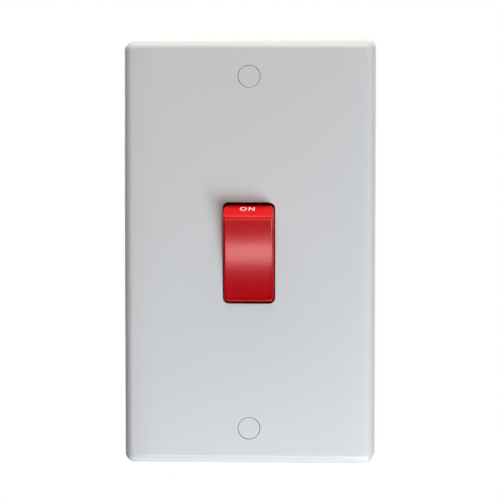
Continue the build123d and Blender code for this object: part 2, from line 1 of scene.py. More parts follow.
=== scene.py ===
"""Looks of a double-pole rocker switch on its tall moulded wall plate.

Sizes are metres in the part's own frame: X runs right, Z runs up and the front faces -Y.
"""

import json
import logging
import math
from collections.abc import Callable, Iterable
from dataclasses import dataclass, replace
from enum import Enum

import bmesh
import bpy
from mathutils import Matrix, Vector


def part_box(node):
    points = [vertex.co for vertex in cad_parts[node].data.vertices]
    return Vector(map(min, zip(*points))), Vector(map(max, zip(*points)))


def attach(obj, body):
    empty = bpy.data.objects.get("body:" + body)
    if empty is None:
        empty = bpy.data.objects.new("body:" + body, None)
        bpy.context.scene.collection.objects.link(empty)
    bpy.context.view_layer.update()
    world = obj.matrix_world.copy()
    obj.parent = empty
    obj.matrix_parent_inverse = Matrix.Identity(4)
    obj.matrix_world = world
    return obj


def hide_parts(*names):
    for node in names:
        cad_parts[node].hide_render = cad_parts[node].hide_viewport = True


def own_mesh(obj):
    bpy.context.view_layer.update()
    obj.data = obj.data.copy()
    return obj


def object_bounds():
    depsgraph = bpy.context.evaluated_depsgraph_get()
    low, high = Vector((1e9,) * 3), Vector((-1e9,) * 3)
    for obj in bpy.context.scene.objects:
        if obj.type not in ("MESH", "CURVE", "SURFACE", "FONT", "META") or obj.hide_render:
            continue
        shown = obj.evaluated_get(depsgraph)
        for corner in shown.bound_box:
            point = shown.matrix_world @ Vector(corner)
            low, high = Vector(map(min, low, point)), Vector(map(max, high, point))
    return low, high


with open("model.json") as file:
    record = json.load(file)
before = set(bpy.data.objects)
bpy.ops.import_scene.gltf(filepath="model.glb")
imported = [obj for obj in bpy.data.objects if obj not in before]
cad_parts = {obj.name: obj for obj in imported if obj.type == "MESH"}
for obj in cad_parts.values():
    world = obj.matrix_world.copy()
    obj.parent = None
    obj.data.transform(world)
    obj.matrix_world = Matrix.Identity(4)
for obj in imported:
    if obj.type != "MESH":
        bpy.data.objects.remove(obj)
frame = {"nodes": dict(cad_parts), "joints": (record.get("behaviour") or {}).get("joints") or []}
cad_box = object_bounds()

MM = 0.001
MERGE_DISTANCE = 0.0005 * MM
FLAT_ANGLE = math.radians(0.05)
SHARP_ANGLE = math.radians(28.0)
POLES = ("live", "neutral")
ENDS = ("load", "supply")
ENDPOINTS = ("top", "bottom")
ORIGIN = (0.0, 0.0, 0.0)
FRONT = (0.0, -0.01, 0.0)
WHITE = (1.0, 1.0, 1.0)
BLACK = (0.0, 0.0, 0.0)
SEEN_RAYS = ("Is Camera Ray", "Is Glossy Ray", "Is Transmission Ray")

Color = tuple[float, float, float]
Span = tuple[float, float]
EdgeTest = Callable[[bmesh.types.BMEdge], bool]
log = logging.getLogger("wall_switch")


@dataclass(frozen=True)
class Value:
    """One output of a node, on which Python's operators add Math nodes."""

    graph: "Graph"
    socket: bpy.types.NodeSocket

    def __add__(self, other: "Value | float") -> "Value":
        """Sum."""
        return self.graph.compute("ADD", self, other)

    def __radd__(self, other: float) -> "Value":
        """Sum with a number on the left."""
        return self.graph.compute("ADD", other, self)

    def __sub__(self, other: "Value | float") -> "Value":
        """Difference."""
        return self.graph.compute("SUBTRACT", self, other)

    def __rsub__(self, other: float) -> "Value":
        """Difference with a number on the left."""
        return self.graph.compute("SUBTRACT", other, self)

    def __mul__(self, other: "Value | float") -> "Value":
        """Product."""
        return self.graph.compute("MULTIPLY", self, other)

    def __rmul__(self, other: float) -> "Value":
        """Product with a number on the left."""
        return self.graph.compute("MULTIPLY", other, self)

    def __abs__(self) -> "Value":
        """Size without its sign."""
        return self.graph.compute("ABSOLUTE", self)

    def step(self, start: float, end: float) -> "Value":
        """A smooth rise from 0 to 1, or a fall from 1 to 0 where the end is below the start.

        Args:
            start: The value that gives 0.
            end: The value that gives 1.

        Returns:
            The step.
        """
        rises = start < end
        sockets = {
            "Value": self,
            "From Min": min(start, end),
            "From Max": max(start, end),
            "To Min": 0.0 if rises else 1.0,
            "To Max": 1.0 if rises else 0.0,
        }
        return self.graph.node("ShaderNodeMapRange", {"interpolation_type": "SMOOTHSTEP"}, sockets)


class Graph:
    """The node tree of a new material or world."""

    def __init__(self, owner: bpy.types.Material | bpy.types.World) -> None:
        """Empty the node tree of its owner.

        Args:
            owner: The new material or world.
        """
        owner.use_nodes = True
        self.owner = owner
        self.tree = owner.node_tree
        self.tree.nodes.clear()

    def node(
        self,
        kind: str,
        settings: dict[str, object] | None = None,
        inputs: dict[str | int, object] | None = None,
        output: str | int = 0,
    ) -> Value:
        """Add a node, with its settings made before its sockets are filled.

        Args:
            kind: Blender's name for the node type.
            settings: Properties of the node.
            inputs: Values or links for its sockets, by name or number.
            output: The socket that is returned.

        Returns:
            The chosen output as a value.
        """
        made = self.tree.nodes.new(kind)
        for key, setting in (settings or {}).items():
            setattr(made, key, setting)
        for key, given in (inputs or {}).items():
            if isinstance(given, Value):
                self.tree.links.new(given.socket, made.inputs[key])
            else:
                made.inputs[key].default_value = given
        return Value(self, made.outputs[output]) if made.outputs else None

    def compute(self, operation: str, *values: Value | float, clamp: bool = False) -> Value:
        """Add one Math node.

        Args:
            operation: The Math node's operation.
            values: What feeds its sockets, in order.
            clamp: Whether its result is kept from 0 to 1.

        Returns:
            The node's result.
        """
        settings = {"operation": operation, "use_clamp": clamp}
        return self.node("ShaderNodeMath", settings, dict(enumerate(values)))

    def place(self) -> Value:
        """The point on the object, in metres."""
        return self.node("ShaderNodeTexCoord", output="Object")

    def part(self, vector: Value, axis: str) -> Value:
        """One coordinate of a vector.

        Args:
            vector: The vector.
            axis: X, Y or Z.

        Returns:
            The coordinate.
        """
        return self.node("ShaderNodeSeparateXYZ", {}, {0: vector}, axis)

    def noise(self, place: Value, per_metre: float, detail: float = 2.0) -> Value:
        """Smooth noise from 0 to 1.

        Args:
            place: The point that is looked up.
            per_metre: How many features a metre holds.
            detail: How many finer layers are added.

        Returns:
            The noise.
        """
        inputs = {"Vector": place, "Scale": per_metre, "Detail": detail}
        return self.node("ShaderNodeTexNoise", {}, inputs, "Fac")

    def blend(self, share: Value | float, first: Color | Value, second: Color | Value) -> Value:
        """Mix two colours.

        Args:
            share: The share of the second colour.
            first: The first colour.
            second: The second colour.

        Returns:
            The mixed colour.
        """
        sockets = {
            0: share,
            6: first if isinstance(first, Value) else (*first, 1.0),
            7: second if isinstance(second, Value) else (*second, 1.0),
        }
        return self.node("ShaderNodeMix", {"data_type": "RGBA"}, sockets, 2)

    def vary(self, share: Value, color: Color, span: Span) -> Value:
        """Mix two shades of one colour.

        Args:
            share: The share of the second shade.
            color: The colour.
            span: The factors that make the two shades.

        Returns:
            The mixed colour.
        """
        return self.blend(share, *(shade(color, factor) for factor in span))

    def bump(self, height: Value, distance: float = 1.0) -> Value:
        """Bend the surface normal by a height.

        Args:
            height: The height, in units of the distance.
            distance: The distance in metres.

        Returns:
            The bent normal.
        """
        inputs = {"Height": height, "Distance": distance, "Strength": 1.0}
        return self.node("ShaderNodeBump", {}, inputs, "Normal")

    def finish(self, sockets: dict[str, object]) -> bpy.types.Material:
        """End the tree in one Principled surface.

        Args:
            sockets: Values or links for the surface's sockets.

        Returns:
            The finished material.
        """
        surface = self.node("ShaderNodeBsdfPrincipled", {}, sockets)
        self.node("ShaderNodeOutputMaterial", {}, {"Surface": surface})
        return self.owner


def shade(color: Color, factor: float) -> Color:
    """Make a colour lighter or darker.

    Args:
        color: The colour.
        factor: What each of its parts is multiplied by.

    Returns:
        The new colour.
    """
    red, green, blue = (min(1.0, part * factor) for part in color)
    return red, green, blue


@dataclass(frozen=True)
class MouldedPlastic:
    """A moulded plastic skin: faint flow tints and the ripple of the tool's polish."""

    color: Color
    roughness: float
    tint_shift: float = 0.015
    ripple: float = 0.004 * MM
    ripple_per_metre: float = 420.0
    ripple_sheen: float = 0.06
    grain: float = 0.0008 * MM
    grain_per_metre: float = 5200.0
    grain_sheen: float = 0.05
    flow_per_metre: float = 26.0
    ior: float = 1.5
    crown_half: Span = (1.0, 1.0)
    crown_width: Span = (11.0 * MM, 4.4 * MM)
    crown_slope: Span = (0.13, 0.8)

    def crown(self, graph: Graph, place: Value) -> Value:
        """How far the face falls back as it nears its outline.

        Args:
            graph: The material's tree.
            place: The point on the object.

        Returns:
            The fall in metres.
        """
        fall = []
        across, up = graph.part(place, "X"), graph.part(place, "Z")
        sizes = zip((abs(across), up), self.crown_half, self.crown_width, self.crown_slope)
        for along, half, width, slope in sizes:
            over = graph.compute("MAXIMUM", along - (half - width), 0.0)
            fall.append(over * over * (slope / (2 * width)))
        return fall[0] + fall[1]

    def material(self, name: str) -> bpy.types.Material:
        """Build the node material.

        Args:
            name: The material's name.

        Returns:
            The material.
        """
        graph = Graph(bpy.data.materials.new(name))
        place = graph.place()
        flow = graph.noise(place, self.flow_per_metre, 3.0)
        ripple = graph.noise(place, self.ripple_per_metre)
        grain = graph.noise(place, self.grain_per_metre, 3.0)
        height = ripple * self.ripple + grain * self.grain - self.crown(graph, place)
        rough = self.roughness + (ripple - 0.5) * self.ripple_sheen
        tints = (1.0 - self.tint_shift, 1.0 + self.tint_shift)
        return graph.finish(
            {
                "Base Color": graph.vary(flow, self.color, tints),
                "Roughness": rough + (grain - 0.5) * self.grain_sheen,
                "IOR": self.ior,
                "Normal": graph.bump(height),
            }
        )


@dataclass(frozen=True)
class RockerPlastic:
    """Glossy red plastic whose sunk panels were spark-eroded to a fine matt grain; its colour also
    holds painted highlight lines along the panels' lips, and a facet painted lighter for the light
    that falls on it from above.
    """

    color: Color
    # Painted light: the upward facet gets a lighter red than the dish, standing in for the light
    # that falls on it from above
    panel_color: Color
    painted_light_facet_color: Color
    gloss_roughness: float
    panel_roughness: float
    panel_half_width: float
    panel_heel: float
    panel_ridge: float
    facet_half_width: float
    facet_heel: float
    front: float
    front_blur: float = 0.1 * MM
    mask_blur: float = 0.05 * MM
    lip_blur: float = 0.32 * MM
    lip_fall: float = 0.24 * MM
    gloss_tint: tuple[float, float, float, float] = (1.0, 0.62, 0.62, 1.0)
    gloss_span: Span = (0.97, 1.03)
    matt_span: Span = (0.86, 1.16)
    # Painted highlight: a light red painted into the base colour along the sunk panels' lips,
    # standing in for the light their rounded lips catch
    painted_highlight_color: Color = (0.95, 0.055, 0.04)
    dish_painted_highlight: float = 0.3
    facet_painted_highlight: float = 0.85
    grain: float = 0.006 * MM
    grain_per_metre: float = 3600.0
    speck_span: Span = (0.42, 0.66)
    speck_sheen: float = 0.08
    flow_per_metre: float = 60.0
    polish: float = 0.0015 * MM
    polish_per_metre: float = 900.0
    polish_sheen: float = 0.04
    ior: float = 1.42

    def panel_masks(self, graph: Graph, place: Value, blur: float) -> tuple[Value, Value]:
        """Where the sunk panels are, from 0 to 1.

        Args:
            graph: The material's tree.
            place: The point on the object.
            blur: Half the width of their soft borders.

        Returns:
            The masks of the dish and of the facet.
        """
        across, up = abs(graph.part(place, "X")), graph.part(place, "Z")
        dish = up.step(self.panel_heel - blur, self.panel_heel + blur)
        dish = dish * up.step(self.panel_ridge + blur, self.panel_ridge - blur)
        dish = dish * across.step(self.panel_half_width + blur, self.panel_half_width - blur)
        facet = up.step(self.facet_heel - blur, self.facet_heel + blur)
        facet = facet * across.step(self.facet_half_width + blur, self.facet_half_width - blur)
        depth, blur = graph.part(place, "Y"), self.front_blur
        ahead = depth.step(self.front + blur, self.front - blur)
        return dish * ahead, facet * ahead

    def material(self, name: str) -> bpy.types.Material:
        """Build the node material.

        Args:
            name: The material's name.

        Returns:
            The material.
        """
        graph = Graph(bpy.data.materials.new(name))
        place = graph.place()
        dish, facet = self.panel_masks(graph, place, self.mask_blur)
        mask = dish + facet
        dish_lip, facet_lip = self.panel_masks(graph, place, self.lip_blur)
        grain = graph.noise(place, self.grain_per_metre, 4.0)
        speck = grain.step(*self.speck_span)
        flow = graph.noise(place, self.flow_per_metre)
        polish = graph.noise(place, self.polish_per_metre)
        gloss = graph.vary(flow, self.color, self.gloss_span)
        # The facet's lighter red is painted light, for the light from above that falls on it
        colors = (self.panel_color, self.painted_light_facet_color)
        dish_matt, painted_light_facet_matt = (graph.vary(speck, color, self.matt_span) for color in colors)
        matt = graph.blend(facet, dish_matt, painted_light_facet_matt)
        # Painted highlight: a soft step times its own rest is 1/4 halfway, so four times that is a
        # line along each panel's lip, lightened in the base colour as if the lip caught the light
        dish_highlight_line, facet_highlight_line = (lip * (1.0 - lip) * 4.0 for lip in (dish_lip, facet_lip))
        painted_highlight_lines = dish_highlight_line * self.dish_painted_highlight + facet_highlight_line * self.facet_painted_highlight
        height = mask * grain * self.grain + (1.0 - mask) * polish * self.polish
        height = height - (dish_lip + facet_lip) * self.lip_fall
        rough = self.gloss_roughness + (polish - 0.5) * self.polish_sheen
        rougher = self.panel_roughness - self.gloss_roughness + (speck - 0.5) * self.speck_sheen
        return graph.finish(
            {
                # The base colour lays the painted highlight lines over the gloss and matt reds
                "Base Color": graph.blend(painted_highlight_lines, graph.blend(mask, gloss, matt), self.painted_highlight_color),
                "Roughness": rough + mask * rougher,
                "IOR": self.ior,
                "Specular Tint": self.gloss_tint,
                "Normal": graph.bump(height),
            }
        )


class MetalWork(Enum):
    """How a metal piece was made, as the stretch of its tool marks along X, Y and Z."""

    TURNED = (1.0, 14.0, 1.0)
    STAMPED = (1.0, 1.0, 1.0)
    DRAWN = (3.0, 1.0, 3.0)


@dataclass(frozen=True)
class WorkedMetal:
    """Bare or plated metal with the marks of how it was made."""

    color: Color
    roughness: float
    work: MetalWork
    tarnish: float = 0.06
    tarnish_span: Span = (0.35, 0.7)
    mark: float = 0.0025 * MM
    marks_per_metre: float = 1500.0
    mark_sheen: float = 0.16
    cloud_per_metre: float = 240.0
    cloud_sheen: float = 0.08

    def material(self, name: str) -> bpy.types.Material:
        """Build the node material.

        Args:
            name: The material's name.

        Returns:
            The material.
        """
        graph = Graph(bpy.data.materials.new(name))
        place = graph.place()
        along = graph.node("ShaderNodeMapping", {}, {"Vector": place, "Scale": self.work.value})
        marks = graph.noise(along, self.marks_per_metre, 3.0)
        cloud = graph.noise(place, self.cloud_per_metre, 3.0)
        tints = (1.0 - self.tarnish, 1.0 + self.tarnish)
        rough = self.roughness + (marks - 0.5) * self.mark_sheen
        return graph.finish(
            {
                "Base Color": graph.vary(cloud.step(*self.tarnish_span), self.color, tints),
                "Metallic": 1.0,
                "Roughness": rough + (cloud - 0.5) * self.cloud_sheen,
                "Normal": graph.bump(marks, self.mark),
            }
        )


@dataclass(frozen=True)
class PrintedInk:
    """Opaque ink with a slightly uneven film."""

    color: Color
    roughness: float
    film: float = 0.003 * MM
    film_per_metre: float = 3800.0
    film_span: Span = (0.93, 1.04)
    film_sheen: float = 0.1

    def material(self, name: str) -> bpy.types.Material:
        """Build the node material.

        Args:
            name: The material's name.

        Returns:
            The material.
        """
        graph = Graph(bpy.data.materials.new(name))
        film = graph.noise(graph.place(), self.film_per_metre, 3.0)
        return graph.finish(
            {
                "Base Color": graph.vary(film, self.color, self.film_span),
                "Roughness": self.roughness + (film - 0.5) * self.film_sheen,
                "Normal": graph.bump(film, self.film),
            }
        )


PLATE_WHITE = MouldedPlastic((0.735, 0.74, 0.745), 0.3)
COVER_WHITE = MouldedPlastic((0.725, 0.735, 0.725), 0.36)
INNER_BLACK = MouldedPlastic((0.022, 0.022, 0.024), 0.42, tint_shift=0.08)
NYLON = MouldedPlastic((0.78, 0.75, 0.66), 0.45)
ZINC_PLATE = WorkedMetal((0.74, 0.75, 0.76), 0.3, MetalWork.TURNED)
TURNED_BRASS = WorkedMetal((0.78, 0.6, 0.3), 0.28, MetalWork.TURNED)
STAMPED_BRASS = WorkedMetal((0.8, 0.63, 0.33), 0.32, MetalWork.STAMPED)
CONTACT_COPPER = WorkedMetal((0.8, 0.46, 0.32), 0.3, MetalWork.STAMPED)
SILVER = WorkedMetal((0.9, 0.89, 0.87), 0.2, MetalWork.TURNED, tarnish=0.03)
SPRING_STEEL = WorkedMetal((0.62, 0.62, 0.63), 0.25, MetalWork.DRAWN)
WHITE_INK = PrintedInk((0.86, 0.86, 0.85), 0.45)


def dress(material: bpy.types.Material, nodes: Iterable[str]) -> None:
    """Give CAD nodes their finish.

    Args:
        material: The finish.
        nodes: The names of the nodes.
    """
    for name in nodes:
        node = frame["nodes"][name]
        if not node.material_slots:
            node.data.materials.append(material)
        for place in node.material_slots:
            place.material = material
        log.info("dressed %s with %s", name, material.name)


def merged(node: str) -> bmesh.types.BMesh:
    """Copy a CAD node's mesh with its triangles joined and its flat faces whole.

    Args:
        node: The node's name.

    Returns:
        The copy, to be shaped further.
    """
    work = bmesh.new()
    work.from_mesh(frame["nodes"][node].data)
    bmesh.ops.remove_doubles(work, verts=work.verts, dist=MERGE_DISTANCE)
    bmesh.ops.dissolve_limit(
        work,
        angle_limit=FLAT_ANGLE,
        verts=work.verts,
        edges=work.edges,
        use_dissolve_boundaries=False,
    )
    return work


def soften(work: bmesh.types.BMesh, width: float, chosen: EdgeTest, segments: int = 4) -> None:
    """Round the sharp edges that a test chooses.

    Args:
        work: The mesh.
        width: How far the rounding reaches from each edge.
        chosen: The test on an edge.
        segments: How many strips make the rounding.
    """
    sharp = [edge for edge in work.edges if edge.calc_face_angle(0.0) > SHARP_ANGLE]
    bmesh.ops.bevel(
        work,
        geom=[edge for edge in sharp if chosen(edge)],
        offset=width,
        segments=segments,
        profile=0.5,
        affect="EDGES",
        material=-1,
        clamp_overlap=True,
    )


def piece(
    name: str,
    work: bmesh.types.BMesh,
    material: bpy.types.Material,
    body: str,
    replaced: Iterable[str] = (),
) -> bpy.types.Object:
    """Make a shaded object from a finished mesh and tie it to its body.

    Args:
        name: The new piece's name.
        work: Its mesh, which is freed.
        material: Its finish.
        body: The body that it rides on.
        replaced: The CAD nodes that it stands for.

    Returns:
        The new object.
    """
    for face in work.faces:
        face.smooth = True
    for edge in work.edges:
        edge.smooth = edge.calc_face_angle(0.0) < SHARP_ANGLE
    mesh = bpy.data.meshes.new(name)
    work.to_mesh(mesh)
    work.free()
    mesh.materials.clear()
    mesh.materials.append(material)
    made = bpy.data.objects.new(name, mesh)
    bpy.context.scene.collection.objects.link(made)
    weighted = made.modifiers.new("even shading", "WEIGHTED_NORMAL")
    weighted.keep_sharp = True
    weighted.weight = 100
    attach(made, body)
    if replaced:
        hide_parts(*replaced)
    log.info("made %s with %d faces", name, len(mesh.polygons))
    return made


@dataclass
class WallPlate:
    """The moulded front plate and the covers over its fixing screws."""

    body: str = "housing"

    def build(self) -> None:
        """Dress the plate and its covers."""
        _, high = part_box("front_plate")
        skin = replace(PLATE_WHITE, crown_half=(high.x, high.z))
        dress(skin.material("plate_white"), ["front_plate"])
        dress(COVER_WHITE.material("cap_white"), [f"screw_cap_{place}" for place in ENDPOINTS])


@dataclass
class FixingScrews:
    """The two screws that hold the plate to its box, with their rolled threads."""

    body: str = "housing"
    pitch: float = 0.6 * MM
    core_radius: float = 1.38 * MM
    crest_flat: float = 0.06 * MM
    root_depth: float = 0.05 * MM
    flank_share: float = 0.42
    first_thread: float = 0.5 * MM
    shank_lead: float = 0.3 * MM
    tip_clear: float = 0.7 * MM
    steps_per_turn: int = 24

    def build(self) -> None:
        """Make both screws."""
        material = ZINC_PLATE.material("plated_steel_thread")
        for place in ENDPOINTS:
            node = f"fixing_screw_{place}"
            low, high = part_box(node)
            axis_z = (low.z + high.z) / 2
            work = merged(node)
            radius = self.narrow_shank(work, axis_z)
            self.wind_thread(work, axis_z, radius, high.y - self.tip_clear)
            piece(f"threaded_screw_{place}", work, material, self.body, [node])

    def narrow_shank(self, work: bmesh.types.BMesh, axis_z: float) -> float:
        """Bring the plain shank down to the thread's root.

        Args:
            work: The screw's mesh.
            axis_z: The height of its axis.

        Returns:
            The thread's outer radius, which the shank had.
        """
        shank = [vert for vert in work.verts if vert.co.y > self.first_thread - self.shank_lead]
        radius = max(math.hypot(vert.co.x, vert.co.z - axis_z) for vert in shank)
        factor = self.core_radius / radius
        centre = Matrix.Translation((0.0, 0.0, -axis_z))
        bmesh.ops.scale(work, vec=(factor, 1.0, factor), space=centre, verts=shank)
        return radius

    def wind_thread(
        self, work: bmesh.types.BMesh, axis_z: float, radius: float, end: float
    ) -> None:
        """Add the ridge of the thread as one closed helix.

        Args:
            work: The screw's mesh.
            axis_z: The height of its axis.
            radius: The thread's outer radius.
            end: Where the last turn stops along Y.
        """
        turns = (end - self.first_thread) / self.pitch
        steps = round(turns * self.steps_per_turn)
        root = self.core_radius - self.root_depth
        flank = self.pitch * self.flank_share
        profile = [
            (root, -flank),
            (radius, -self.crest_flat),
            (radius, self.crest_flat),
            (root, flank),
        ]
        verts = [work.verts.new((r, self.first_thread + shift, axis_z)) for r, shift in profile]
        start = work.faces.new(verts)
        made = bmesh.ops.spin(
            work,
            geom=[start, *start.edges, *start.verts],
            cent=(0.0, 0.0, axis_z),
            axis=(0.0, 1.0, 0.0),
            dvec=(0.0, self.pitch / self.steps_per_turn, 0.0),
            angle=2 * math.pi * steps / self.steps_per_turn,
            steps=steps,
            use_merge=False,
            use_duplicate=False,
        )
        log.info("wound %d steps, %d elements in the last", steps, len(made["geom_last"]))


@dataclass
class Rocker:
    """The red rocker, its matt panels and its lettering."""

    body: str = "rocker"
    edge_width: float = 0.09 * MM
    lip_width: float = 0.09 * MM
    lip_reach: float = 0.3 * MM
    panel_rim: float = 0.85 * MM
    facet_rim: float = 1.4 * MM
    ridge_rim: float = 0.75 * MM
    plate_face: float = -9.7 * MM
    gloss: Color = (0.58, 0.0005, 0.003)
    matt: Color = (0.56, 0.0005, 0.006)
    # facet is painted light: a lighter red than the matt dish, for the light from above that falls
    # on the upward facet
    facet: Color = (0.76, 0.0005, 0.004)
    gloss_roughness: float = 0.16
    matt_roughness: float = 0.19
    front_facing: float = -0.5
    dish_facing: Span = (-0.8, 0.4)
    facet_facing: Span = (-0.4, 0.5)
    letters: tuple[tuple[str, float, float], ...] = (
        ("O", -1.32 * MM, 2.42 * MM),
        ("N", 1.48 * MM, 2.0 * MM),
    )
    letter_height: float = 2.02 * MM
    letter_weight: float = 0.01
    letter_side: float = -0.45 * MM
    letter_shift: float = 1.0 * MM
    ink_thickness: float = 0.03 * MM

    def build(self) -> None:
        """Make the rocker and its lettering."""
        work = merged("rocker")
        low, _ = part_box("rocker")
        ahead, up = self.dish_facing
        dish = [face for face in work.faces if face.normal.y < ahead and face.normal.z < up]
        half_width = max(vert.co.x for face in dish for vert in face.verts)
        soften(work, self.lip_width, self.lip_test(half_width, low.z))
        soften(work, self.edge_width, self.faces_front)
        ahead, up = self.facet_facing
        facet = max(
            (face for face in work.faces if face.normal.z > up and face.normal.y < ahead),
            key=lambda face: face.calc_area(),
        )
        centre, normal = facet.calc_center_bounds(), facet.normal.copy()
        ridge = min(work.verts, key=lambda vert: vert.co.y).co.z
        finish = RockerPlastic(
            color=self.gloss,
            panel_color=self.matt,
            painted_light_facet_color=self.facet,
            gloss_roughness=self.gloss_roughness,
            panel_roughness=self.matt_roughness,
            panel_half_width=half_width - self.panel_rim,
            panel_heel=low.z + self.panel_rim,
            panel_ridge=ridge - self.ridge_rim,
            facet_half_width=half_width - self.facet_rim,
            facet_heel=min(vert.co.z for vert in facet.verts),
            front=self.plate_face,
        )
        log.info("facet %s %s, half width %.5f, ridge %.5f", centre, normal, half_width, ridge)
        red = finish.material("rocker_red")
        piece("rocker_moulding", work, red, self.body, ["rocker"])
        self.print_letters(centre, normal)

    def faces_front(self, edge: bmesh.types.BMEdge) -> bool:
        """Whether an edge borders a face that looks out of the wall.

        Args:
            edge: The edge.

        Returns:
            Whether it does.
        """
        return any(face.normal.y < self.front_facing for face in edge.link_faces)

    def lip_test(self, half_width: float, heel: float) -> EdgeTest:
        """Make the test for the rims of the sunk panels.

        Args:
            half_width: Half the rocker's width in front.
            heel: The height of its lower end.

        Returns:
            The test on an edge.
        """
        inset = self.panel_rim - self.lip_reach

        def is_lip(edge: bmesh.types.BMEdge) -> bool:
            """Whether an edge lies ahead of the plate and well inside the rocker's outline."""
            middle = (edge.verts[0].co + edge.verts[1].co) / 2
            inside = abs(middle.x) < half_width - inset and middle.z > heel + inset
            return inside and middle.y < self.plate_face and edge.is_convex

        return is_lip

    def print_letters(self, centre: Vector, normal: Vector) -> None:
        """Set the lettering on the facet.

        Args:
            centre: The middle of the facet's panel.
            normal: The way that it looks.
        """
        work = bmesh.new()
        for letter, centre_x, width in self.letters:
            self.add_letter(work, letter, centre_x, width)
        raised = bmesh.ops.extrude_face_region(work, geom=list(work.faces))
        top = [element for element in raised["geom"] if isinstance(element, bmesh.types.BMVert)]
        bmesh.ops.translate(work, vec=(0.0, 0.0, self.ink_thickness), verts=top)
        bmesh.ops.recalc_face_normals(work, faces=work.faces)
        side = Vector((1.0, 0.0, 0.0))
        upward = normal.cross(side).normalized()
        turn = Matrix((side, upward, normal)).transposed().to_4x4()
        turn.translation = centre + upward * self.letter_shift + side * self.letter_side
        bmesh.ops.transform(work, matrix=turn, verts=work.verts)
        piece("on_lettering", work, WHITE_INK.material("white_ink"), self.body)

    def add_letter(
        self, work: bmesh.types.BMesh, letter: str, centre_x: float, width: float
    ) -> None:
        """Add one flat letter of a given width.

        Args:
            work: The mesh that takes it.
            letter: The character.
            centre_x: The middle of its width.
            width: Its width.
        """
        curve = bpy.data.curves.new("letter_outline", "FONT")
        curve.body = letter
        curve.offset = self.letter_weight
        text = bpy.data.objects.new("letter_source", curve)
        bpy.context.scene.collection.objects.link(text)
        graph = bpy.context.evaluated_depsgraph_get()
        flat = bpy.data.meshes.new_from_object(text.evaluated_get(graph))
        bpy.data.objects.remove(text)
        corners = [vert.co for vert in flat.vertices]
        low = Vector(min(corner[axis] for corner in corners) for axis in range(3))
        high = Vector(max(corner[axis] for corner in corners) for axis in range(3))
        scale = Vector((width / (high.x - low.x), self.letter_height / (high.y - low.y), 1.0))
        flat.transform(Matrix.Translation(-(low + high) / 2))
        flat.transform(Matrix.Diagonal(scale).to_4x4())
        flat.transform(Matrix.Translation((centre_x, 0.0, 0.0)))
        work.from_mesh(flat)
        bpy.data.meshes.remove(flat)


@dataclass
class Mechanism:
    """The black mouldings behind the plate, and the screws that hold them."""

    def build(self) -> None:
        """Dress the cradle, the base and their screws."""
        dress(INNER_BLACK.material("inner_black"), ["rocker_cradle", "mechanism_base"])
        screws = [f"mechanism_screw_{number}" for number in range(1, 5)]
        dress(ZINC_PLATE.material("plated_steel"), screws)


@dataclass
class Contacts:
    """The plungers, see-saw contacts and strips of both poles."""

    def build(self) -> None:
        """Dress the current-carrying pieces and what moves them."""
        for finish, name, stems in (
            (NYLON, "plunger_nylon", ("plunger",)),
            (CONTACT_COPPER, "contact_copper", ("contact_bar",)),
            (SILVER, "silver_contact", ("moving_tip", "fixed_tip")),
            (STAMPED_BRASS, "strip_brass", ("fixed_strip", "fulcrum_strip")),
        ):
            dress(finish.material(name), [f"{stem}_{pole}" for stem in stems for pole in POLES])


@dataclass
class PlungerSprings:
    """The coil springs behind the plungers."""

    body: str = "rocker"

    def build(self) -> None:
        """Make both springs and tie them to the rocker."""
        steel = SPRING_STEEL.material("spring_steel")
        for pole in POLES:
            name = f"plunger_slide_{pole}"
            slide = next(joint for joint in frame["joints"] if joint["name"] == name)
            self.coil(f"plunger_spring_{pole}", slide, steel)

    def coil(self, node: str, slide: dict, steel: bpy.types.Material) -> None:
        """Make one spring as a new piece on the rocker.

        Args:
            node: The spring's CAD node.
            slide: The record of the joint that squeezes it.
            steel: Its finish.
        """
        axis = Vector(slide["axis"])
        work = bmesh.new()
        work.from_mesh(frame["nodes"][node].data)
        seat = max(work.verts, key=lambda vert: axis.dot(vert.co)).co.copy()
        length = axis.dot(seat) - min(axis.dot(vert.co) for vert in work.verts)
        made = piece(f"coiled_{node}", work, steel, self.body, [node])
        keep = 1.0 - slide["range_m"][1] / length
        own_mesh(made)


@dataclass
class Terminals:
    """The cable terminals, the earth terminal and their clamp screws."""

    def build(self) -> None:
        """Dress the blocks and the screws."""
        places = [f"{end}_{pole}" for end in ENDS for pole in POLES]
        blocks = [f"terminal_block_{place}" for place in places] + ["earth_terminal"]
        screws = [f"terminal_screw_{place}" for place in places]
        screws += ["earth_screw_1", "earth_screw_2"]
        dress(TURNED_BRASS.material("terminal_brass"), blocks)
        dress(ZINC_PLATE.material("plated_screw"), screws)


@dataclass(frozen=True)
class Lamp:
    """One soft lamp."""

    name: str
    place: tuple[float, float, float]
    target: tuple[float, float, float]
    width: float
    height: float
    watts: float
    color: Color = WHITE
    in_diffuse: bool = True
    in_gloss: bool = True

    def light(self) -> None:
        """Put the lamp in the scene, unseen by the camera."""
        data = bpy.data.lights.new(self.name, "AREA")
        data.shape = "RECTANGLE"
        data.size = self.width
        data.size_y = self.height
        data.energy = self.watts
        data.color = self.color
        lamp = bpy.data.objects.new(self.name, data)
        aim = Vector(self.target) - Vector(self.place)
        turn = aim.to_track_quat("-Z", "Y").to_matrix().to_4x4()
        lamp.matrix_world = Matrix.Translation(self.place) @ turn
        lamp.visible_camera = False
        lamp.visible_diffuse = self.in_diffuse
        lamp.visible_glossy = self.in_gloss
        bpy.context.scene.collection.objects.link(lamp)


